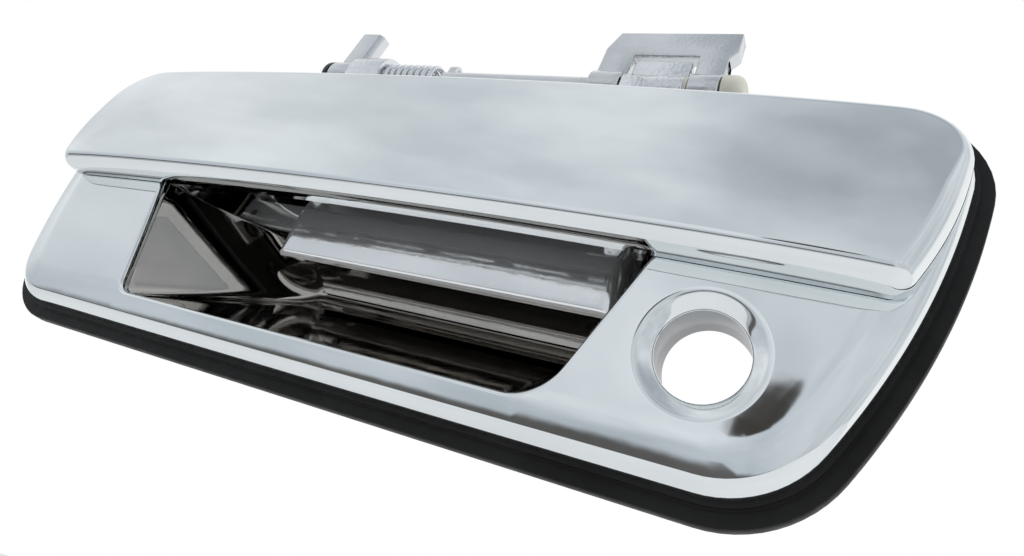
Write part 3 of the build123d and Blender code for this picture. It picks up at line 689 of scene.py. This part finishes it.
# ---------------------------------------------------------------- grip bar
def bar_section(x):
    """The bar's section at a station: an upright upper face and a lower one that leans back."""
    pull = 0.0
    for end, radius in BAR_ENDS:
        gap = abs(x - end)
        if gap < radius:
            pull = radius - math.sqrt(max(radius**2 - (radius - gap) ** 2, 0))
    corners = (
        (BAR_FRONT + 0.6, BAR_TOP), (BAR_REAR, BAR_TOP), (BAR_REAR, BAR_FOOT - 0.4),
        (BAR_FRONT + 2.4, BAR_FOOT), (BAR_FRONT, BAR_CREASE),
    )
    loop, _ = outline(corners, (0, 0, 0, 0.1, 0), (0.8, 0.8, 0.8, 1.2, 5.0), [6, 6, 6, 12, 10], 8)
    depth = BAR_REAR - loop.real
    y = BAR_REAR - depth * (1 - pull / (BAR_REAR - BAR_FRONT))
    return [(x, float(a), float(b)) for a, b in zip(y, loop.imag)]


def make_bar():
    """The bar, and the flange behind it that its screws go through."""
    skin = Skin()
    (left, left_round), (right, right_round) = BAR_ENDS
    quarter = [1 - math.cos(math.pi / 2 * k / 10) for k in range(11)]
    stations = [left + left_round * share for share in quarter]
    stations += [right - right_round * share for share in reversed(quarter)]
    rings = [bar_section(x) for x in stations]
    skin.rings(rings)
    skin.cap(rings[0])
    skin.cap(rings[-1])
    slab(skin, (-71.4, right), (BAR_REAR, BAR_REAR + 2.5), (2.0, BAR_TOP), 1.0)
    return skin.make("grip_bar_plated")


# ---------------------------------------------------------------- fasteners
def make_screws(name, seat, reach, centres):
    """Pan-head screws with cross recesses, their heads on the plane y = seat."""
    pitch, crest, root = 0.6, 1.5, 1.22
    head = [
        (0, 2.0), (0.9, 1.98), (1.7, 1.85), (2.35, 1.55), (2.8, 1.05), (3.0, 0.45), (2.95, 0.1), (2.8, 0),
    ]
    shank = [(crest, 0)]
    for k in range(int(reach / pitch)):
        shank += [(crest, -pitch * k - pitch / 2), (root, -pitch * k - pitch)]
    shank += [(1.1, -reach), (0, -reach)]
    skin = Skin()
    turned(skin, (0, 0), head + shank, 36)
    screw = skin.make("screw")
    cut(screw, [
        box_cutter(-1.75, 1.75, 0.9, 3.0, -0.36, 0.36),
        box_cutter(-0.36, 0.36, 0.9, 3.0, -1.75, 1.75),
    ], smooth=30)
    return repeated(screw, name, seat, centres)


def repeated(model, name, seat, centres):
    """One mesh that holds a copy of a model at each centre, turned a little each time."""
    bm = bmesh.new()
    for k, (x, z) in enumerate(centres):
        copy = model.data.copy()
        turn = Matrix.Rotation(0.7 * k + 0.3, 4, "Y")
        copy.transform(Matrix.Translation((x * MM, seat * MM, z * MM)) @ turn)
        bm.from_mesh(copy)
        bpy.data.meshes.remove(copy)
    mesh = bpy.data.meshes.new(name)
    bm.to_mesh(mesh)
    bm.free()
    finish_shading(mesh, 30)
    bpy.data.objects.remove(model)
    piece = bpy.data.objects.new(name, mesh)
    bpy.context.scene.collection.objects.link(piece)
    return piece


def make_studs():
    """Threaded studs, each with a plain root in its boss."""
    radius, pitch, seat, end = 3.0, 1.0, -0.3, 18.0
    skin = Skin()
    turned(skin, (0, 0), [(0, seat - 5.4), (3.65, seat - 5.4), (3.65, seat - 0.02), (0, seat - 0.02)], 40)
    sides, rows = 32, 6
    rings = []
    length = end - seat
    for k in range(int(length / pitch * rows) + 1):
        y = seat - 0.05 + min(k * pitch / rows, length)
        ring = []
        for j in range(sides):
            phase = (k / rows + j / sides) % 1
            groove = 0.32 * (1 - abs(2 * phase - 1))
            ease = max(0.0, y - (end - 0.9)) * 0.5
            r = radius - groove - ease
            a = 2 * math.pi * j / sides
            ring.append((r * math.cos(a), y, -r * math.sin(a)))
        rings.append(ring)
    skin.rings(rings)
    skin.cap(rings[0])
    skin.cap(rings[-1])
    stud = skin.make("stud", smooth=50)
    return repeated(stud, "threaded_studs", 0, STUDS)


def make_stops():
    """Rubber bump stops with domed faces."""
    skin = Skin()
    profile = [
        (0, -11.6), (2.4, -11.58), (3.7, -11.4), (4.5, -11.0), (4.95, -10.3), (5.0, -9.5),
        (2.5, -9.5), (2.5, -7.0), (3.3, -6.9), (3.1, -5.9), (2.4, -5.6), (0, -5.6),
    ]
    for centre in STOPS:
        turned(skin, centre, profile, 48)
    return skin.make("stop_buttons")


# ---------------------------------------------------------------- eased castings
def eased(node, name, width):
    """A copy of a CAD node whose sharp edges are rounded, as on a casting or a pressing."""
    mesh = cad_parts[node].data.copy()
    mesh.name = name
    if mesh.attributes.get("custom_normal"):
        mesh.attributes.remove(mesh.attributes["custom_normal"])
    bm = bmesh.new()
    bm.from_mesh(mesh)
    bmesh.ops.remove_doubles(bm, verts=bm.verts, dist=0.004 * MM)
    bmesh.ops.dissolve_limit(bm, angle_limit=math.radians(2), verts=bm.verts, edges=bm.edges)
    bm.to_mesh(mesh)
    bm.free()
    piece = bpy.data.objects.new(name, mesh)
    bpy.context.scene.collection.objects.link(piece)
    step = piece.modifiers.new("ease", "BEVEL")
    step.width = width * MM
    step.segments = 3
    step.limit_method = "ANGLE"
    step.angle_limit = math.radians(32)
    step.use_clamp_overlap = False
    bpy.context.view_layer.update()
    applied(piece)
    finish_shading(piece.data, 40)
    return piece


# ---------------------------------------------------------------- materials
def node_material(name):
    """A new material: its nodes, links and shader."""
    material = bpy.data.materials.new(name)
    material.use_nodes = True
    nodes, links = material.node_tree.nodes, material.node_tree.links
    return material, nodes, links, nodes["Principled BSDF"]


def noise(nodes, links, coords, scale, detail):
    """A noise texture over the given coordinates."""
    texture = nodes.new("ShaderNodeTexNoise")
    texture.inputs["Scale"].default_value = scale
    texture.inputs["Detail"].default_value = detail
    links.new(coords, texture.inputs["Vector"])
    return texture.outputs["Fac"]


def ramp(nodes, links, source, stops):
    """A colour ramp over a factor."""
    band = nodes.new("ShaderNodeValToRGB")
    elements = band.color_ramp.elements
    while len(elements) < len(stops):
        elements.new(0.5)
    for element, (place, colour) in zip(elements, stops):
        element.position = place
        element.color = (*colour, 1)
    links.new(source, band.inputs["Fac"])
    return band.outputs["Color"]


def grey(value):
    return (value, value, value)


def bump(nodes, links, shader, height, distance):
    """Bump from a height; distance is in millimetres."""
    made = nodes.new("ShaderNodeBump")
    made.inputs["Distance"].default_value = distance * MM
    links.new(height, made.inputs["Height"])
    links.new(made.outputs["Normal"], shader.inputs["Normal"])


def metal(name, colour, rough, grain_scale, grain, metallic=1.0, tint=0.06):
    """A metal, slightly uneven in colour and roughness, with a surface grain so many millimetres high."""
    material, nodes, links, shader = node_material(name)
    coords = nodes.new("ShaderNodeTexCoord").outputs["Object"]
    shader.inputs["Metallic"].default_value = metallic
    cloud = noise(nodes, links, coords, 45.0, 4.0)
    low = tuple(c * (1 - tint) for c in colour)
    high = tuple(min(1.0, c * (1 + tint)) for c in colour)
    links.new(ramp(nodes, links, cloud, [(0.3, low), (0.7, high)]), shader.inputs["Base Color"])
    film = noise(nodes, links, coords, 160.0, 5.0)
    spread = ramp(nodes, links, film, [(0.3, grey(rough[0])), (0.75, grey(rough[1]))])
    links.new(spread, shader.inputs["Roughness"])
    height = noise(nodes, links, coords, grain_scale, 4.0)
    bump(nodes, links, shader, height, grain)
    return material


def rubber():
    """Black moulded rubber with a faint bloom and a fine grain."""
    material, nodes, links, shader = node_material("black_rubber")
    coords = nodes.new("ShaderNodeTexCoord").outputs["Object"]
    cloud = noise(nodes, links, coords, 60.0, 6.0)
    bloom = ramp(nodes, links, cloud, [(0.35, grey(0.004)), (0.8, grey(0.011))])
    links.new(bloom, shader.inputs["Base Color"])
    shader.inputs["Specular IOR Level"].default_value = 0.22
    film = noise(nodes, links, coords, 300.0, 4.0)
    spread = ramp(nodes, links, film, [(0.3, grey(0.46)), (0.8, grey(0.66))])
    links.new(spread, shader.inputs["Roughness"])
    bump(nodes, links, shader, noise(nodes, links, coords, 1400.0, 3.0), 0.03)
    return material


def nylon():
    """Cream natural nylon."""
    material, nodes, links, shader = node_material("cream_nylon")
    coords = nodes.new("ShaderNodeTexCoord").outputs["Object"]
    cloud = noise(nodes, links, coords, 120.0, 3.0)
    stops = [(0.3, (0.60, 0.59, 0.50)), (0.7, (0.70, 0.69, 0.60))]
    links.new(ramp(nodes, links, cloud, stops), shader.inputs["Base Color"])
    film = noise(nodes, links, coords, 500.0, 3.0)
    spread = ramp(nodes, links, film, [(0.3, grey(0.32)), (0.8, grey(0.48))])
    links.new(spread, shader.inputs["Roughness"])
    bump(nodes, links, shader, noise(nodes, links, coords, 900.0, 2.0), 0.02)
    return material


def black_paint(name, value, rough):
    """Black paint or oxide over steel, from a darkest grey and a least roughness."""
    material, nodes, links, shader = node_material(name)
    coords = nodes.new("ShaderNodeTexCoord").outputs["Object"]
    cloud = noise(nodes, links, coords, 90.0, 4.0)
    stops = [(0.3, grey(value)), (0.75, grey(value * 2))]
    links.new(ramp(nodes, links, cloud, stops), shader.inputs["Base Color"])
    film = noise(nodes, links, coords, 400.0, 4.0)
    spread = ramp(nodes, links, film, [(0.3, grey(rough)), (0.8, grey(rough + 0.15))])
    links.new(spread, shader.inputs["Roughness"])
    bump(nodes, links, shader, noise(nodes, links, coords, 1000.0, 3.0), 0.03)
    return material


MATERIALS = {
    "chrome": metal("chrome", (0.80, 0.835, 0.845), (0.03, 0.07), 28.0, 0.10, tint=0.02),
    # painted shade: the pocket's chrome is a darker, browner copy of the bezel's chrome, standing in for
    # the shade inside the recess
    "pocket": metal("pocket_chrome_painted_shade", (0.42, 0.40, 0.375), (0.04, 0.08), 60.0, 0.06, tint=0.08),
    # painted light: the bar's chrome is whiter and less metallic than the bezel's, so that it shows
    # brighter, standing in for the light the bar catches
    "bar": metal("bar_chrome_painted_light", (0.95, 0.96, 0.97), (0.06, 0.13), 260.0, 0.04, metallic=0.78, tint=0.03),
    # painted shade: the key bore's wall is a dark grey copy of the chrome, standing in for the shade inside
    # the bore
    "bore": metal("bore_satin_painted_shade", (0.34, 0.35, 0.36), (0.26, 0.38), 500.0, 0.04, tint=0.06),
    "plated_casting": metal("plated_casting", (0.76, 0.78, 0.80), (0.08, 0.20), 700.0, 0.30, tint=0.06),
    "satin_casting": metal("satin_casting", (0.65, 0.67, 0.69), (0.16, 0.30), 900.0, 0.10, tint=0.08),
    "zinc": metal("zinc_plate", (0.72, 0.72, 0.71), (0.24, 0.38), 900.0, 0.01, tint=0.06),
    "spring": metal("spring_wire", (0.74, 0.76, 0.79), (0.18, 0.30), 1200.0, 0.01, tint=0.05),
    "rubber": rubber(),
    "nylon": nylon(),
    "plate_paint": black_paint("plate_paint", 0.02, 0.35),
    "clip_oxide": black_paint("clip_oxide", 0.012, 0.30),
    "screw_oxide": black_paint("screw_oxide", 0.018, 0.28),
}

NODE_MATERIALS = {
    "bezel": "chrome", "paddle_cover": "chrome", "finger_cup": "pocket", "grip_bar": "bar",
    "gasket": "rubber", "bump_stops": "rubber",
    "hinge_bracket": "plated_casting", "lever_left": "satin_casting", "lever_right": "satin_casting",
    "torque_tube": "satin_casting", "paddle_plate": "plate_paint", "hinge_pin": "zinc",
    "pin_clip": "clip_oxide", "pin_cap": "nylon", "bush_left": "nylon", "bush_right": "nylon",
    "return_spring": "spring", "mounting_studs": "zinc", "bracket_screws": "zinc",
    "cup_screws": "zinc", "bar_screws": "zinc", "paddle_screws": "screw_oxide",
    "lever_screws": "screw_oxide",
}

# CAD nodes that stay: their shapes are right, and only their materials are better here
for node in ("hinge_pin", "pin_cap", "bush_left", "bush_right"):
    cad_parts[node].material_slots[0].material = MATERIALS[NODE_MATERIALS[node]]


def stand_for(piece, node, body):
    """A detailed piece takes a CAD node's place, its body and its material."""
    piece.data.materials.clear()
    piece.data.materials.append(MATERIALS[NODE_MATERIALS[node]])
    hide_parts(node)
    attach(piece, body)


bezel = make_bezel()
stand_for(bezel, "bezel", "housing")
# the wall of the key bore is satin, and its darker grey is painted shade for the inside of the bore
bezel.data.materials.append(MATERIALS["bore"])
for face in bezel.data.polygons:
    middle = face.center / MM
    from_axis = math.hypot(middle.x - KEY[0], middle.z - KEY[1])
    if from_axis < KEY_R + 0.03 and middle.y > FACE + KEY_DISH_DROP:
        face.material_index = 1
stand_for(make_paddle(), "paddle_cover", "paddle")
stand_for(make_gasket(), "gasket", "housing")
stand_for(make_cup(), "finger_cup", "housing")
stand_for(make_bar(), "grip_bar", "paddle")
stand_for(make_studs(), "mounting_studs", "housing")
stand_for(make_stops(), "bump_stops", "housing")

# node, body, depth of the heads' seat, length below the head, axes
SCREWS = (
    ("bracket_screws", "housing", 5.5, 8.0, BRACKET_SCREWS),
    ("cup_screws", "housing", 2.5, 7.5, CUP_SCREWS),
    ("paddle_screws", "paddle", -7.4, 6.6, PADDLE_SCREWS),
    ("lever_screws", "paddle", -4.4, 9.6, LEVER_SCREWS),
    ("bar_screws", "paddle", 18.0, 6.0, BAR_SCREWS),
)
for node, body, seat, reach, centres in SCREWS:
    stand_for(make_screws(node + "_cross", seat, reach, centres), node, body)

# node, body, width of the eased edge
EASED = (
    ("lever_left", "paddle", 0.55), ("lever_right", "paddle", 0.55), ("hinge_bracket", "housing", 0.6),
    ("torque_tube", "paddle", 0.25), ("paddle_plate", "paddle", 0.35), ("pin_clip", "paddle", 0.25),
)
for node, body, width in EASED:
    stand_for(eased(node, node + "_eased", width), node, body)

spring = make_spring()
spring.data.materials.append(MATERIALS["spring"])
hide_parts("return_spring")
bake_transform(spring)


# ---------------------------------------------------------------- floor, light and camera
GROUND_R, GROUND_Z, GROUND_STEPS = 900.0, -190.0, 96


def make_floor():
    """A pale round floor, well below the handle."""
    skin = Skin()
    loop = circle((0, 0), GROUND_R, GROUND_STEPS)
    ring = np.stack([loop.real, loop.imag, np.full(GROUND_STEPS, GROUND_Z)], 1)
    skin.cap(ring)
    floor = skin.make("floor")
    material, nodes, links, shader = node_material("pale_floor")
    coords = nodes.new("ShaderNodeTexCoord").outputs["Object"]
    cloud = noise(nodes, links, coords, 3.0, 3.0)
    tone = ramp(nodes, links, cloud, [(0.3, grey(0.80)), (0.7, grey(0.86))])
    links.new(tone, shader.inputs["Base Color"])
    shader.inputs["Roughness"].default_value = 0.7
    floor.data.materials.append(material)


def make_world():
    """A pale studio: white behind the handle, softly clouded before it, with a thin dark strip low down."""
    world = bpy.data.worlds.new("studio")
    bpy.context.scene.world = world
    world.use_nodes = True
    nodes, links = world.node_tree.nodes, world.node_tree.links
    direction = nodes.new("ShaderNodeTexCoord").outputs["Generated"]
    split = nodes.new("ShaderNodeSeparateXYZ")
    links.new(direction, split.inputs["Vector"])

    def mapped(source, low, high, interpolation="SMOOTHSTEP"):
        """0 where the source is low, rising to 1 where it is high."""
        rise = nodes.new("ShaderNodeMapRange")
        rise.interpolation_type = interpolation
        rise.inputs["From Min"].default_value = low
        rise.inputs["From Max"].default_value = high
        links.new(source, rise.inputs["Value"])
        return rise.outputs["Result"]

    def lobe(aim, inner, outer):
        """1 within inner degrees of a direction, falling smoothly to 0 at outer degrees."""
        dot = nodes.new("ShaderNodeVectorMath")
        dot.operation = "DOT_PRODUCT"
        dot.inputs[1].default_value = Vector(aim).normalized()
        links.new(direction, dot.inputs[0])
        return mapped(dot.outputs["Value"], math.cos(math.radians(outer)), math.cos(math.radians(inner)))

    def blended(base, other, mask, mode="MIX"):
        """The base colour where the mask is 0, the other where it is 1; each value may be a constant."""
        mix = nodes.new("ShaderNodeMix")
        mix.data_type = "RGBA"
        mix.blend_type = mode
        for name, value in (("Factor", mask), ("A", base), ("B", other)):
            socket = mix.inputs[name]
            if isinstance(value, bpy.types.NodeSocket):
                links.new(value, socket)
            elif isinstance(value, tuple):
                socket.default_value = (*value, 1)
            else:
                socket.default_value = value
        return mix.outputs["Result"]

    height = mapped(split.outputs["Z"], -1, 1, "LINEAR")
    front = ramp(nodes, links, height, [
        (0.0, (0.55, 0.55, 0.55)), (0.431, (0.46, 0.47, 0.48)), (0.440, (0.12, 0.115, 0.11)),
        (0.467, (0.12, 0.115, 0.11)), (0.480, (0.56, 0.60, 0.64)), (0.60, (0.66, 0.70, 0.74)),
        (0.80, (0.74, 0.77, 0.80)), (1.0, (0.80, 0.83, 0.86)),
    ])
    pale = ramp(nodes, links, height, [
        (0.0, (0.60, 0.61, 0.62)), (0.46, (0.66, 0.69, 0.72)), (1.0, (0.80, 0.83, 0.86)),
    ])
    # the dark strip is only where the bezel's shoulder mirrors it: to the left, and well in front
    beyond = nodes.new("ShaderNodeMath")
    beyond.operation = "MAXIMUM"
    links.new(mapped(split.outputs["X"], 0.0, 0.22), beyond.inputs[0])
    links.new(mapped(split.outputs["Y"], -0.46, -0.28), beyond.inputs[1])
    colour = blended(front, pale, beyond.outputs["Value"])
    # soft grey above, two bright panels to the left, and the dark patch beside the keyhole
    colour = blended(colour, (0.50, 0.53, 0.57), lobe((0.10, -0.58, 0.80), 6, 26))
    colour = blended(colour, (0.86, 0.88, 0.90), lobe((-0.86, -0.30, 0.42), 4, 24))
    colour = blended(colour, (0.86, 0.88, 0.91), lobe((-0.34, -0.88, 0.26), 3, 15))
    colour = blended(colour, (0.06, 0.055, 0.05), lobe((-0.10, -0.94, 0.30), 3.4, 4.6))
    cloud = ramp(nodes, links, noise(nodes, links, direction, 4.2, 3.0), [
        (0.36, (0.85, 0.86, 0.87)), (0.64, (1.06, 1.06, 1.06)),
    ])
    colour = blended(colour, cloud, 1.0, "MULTIPLY")
    colour = blended(colour, (1.0, 1.0, 1.0), mapped(split.outputs["Y"], -0.10, 0.10, "LINEAR"))
    links.new(colour, nodes["Background"].inputs["Color"])


def area_light(name, place, target, size, power):
    """A soft rectangular light aimed at a point; place and size are in metres."""
    data = bpy.data.lights.new(name, "AREA")
    data.shape = "RECTANGLE"
    data.size, data.size_y = size
    data.energy = power
    light = bpy.data.objects.new(name, data)
    bpy.context.scene.collection.objects.link(light)
    light.location = place
    light.rotation_euler = (Vector(target) - Vector(place)).to_track_quat("-Z", "Y").to_euler()
    return light


def make_camera():
    """The photograph's viewpoint: close, low and to the right, looking up at the handle."""
    data = bpy.data.cameras.new("camera")
    data.sensor_width = 36
    data.lens = 23.906
    data.shift_x = -0.0649
    data.shift_y = -0.1281
    data.clip_start = 0.005
    camera = bpy.data.objects.new("camera", data)
    bpy.context.scene.collection.objects.link(camera)
    camera.location = (0.12366, -0.13229, -0.07116)
    camera.rotation_euler = [math.radians(angle) for angle in (127.134, -19.118, 16.749)]
    bpy.context.scene.camera = camera


make_floor()
make_world()
key = area_light("key", (0.5, -0.35, 1.1), (0, 0, 0), (0.9, 0.9), 5)
key.visible_glossy = False
make_camera()
bpy.context.scene.view_settings.view_transform = "Standard"
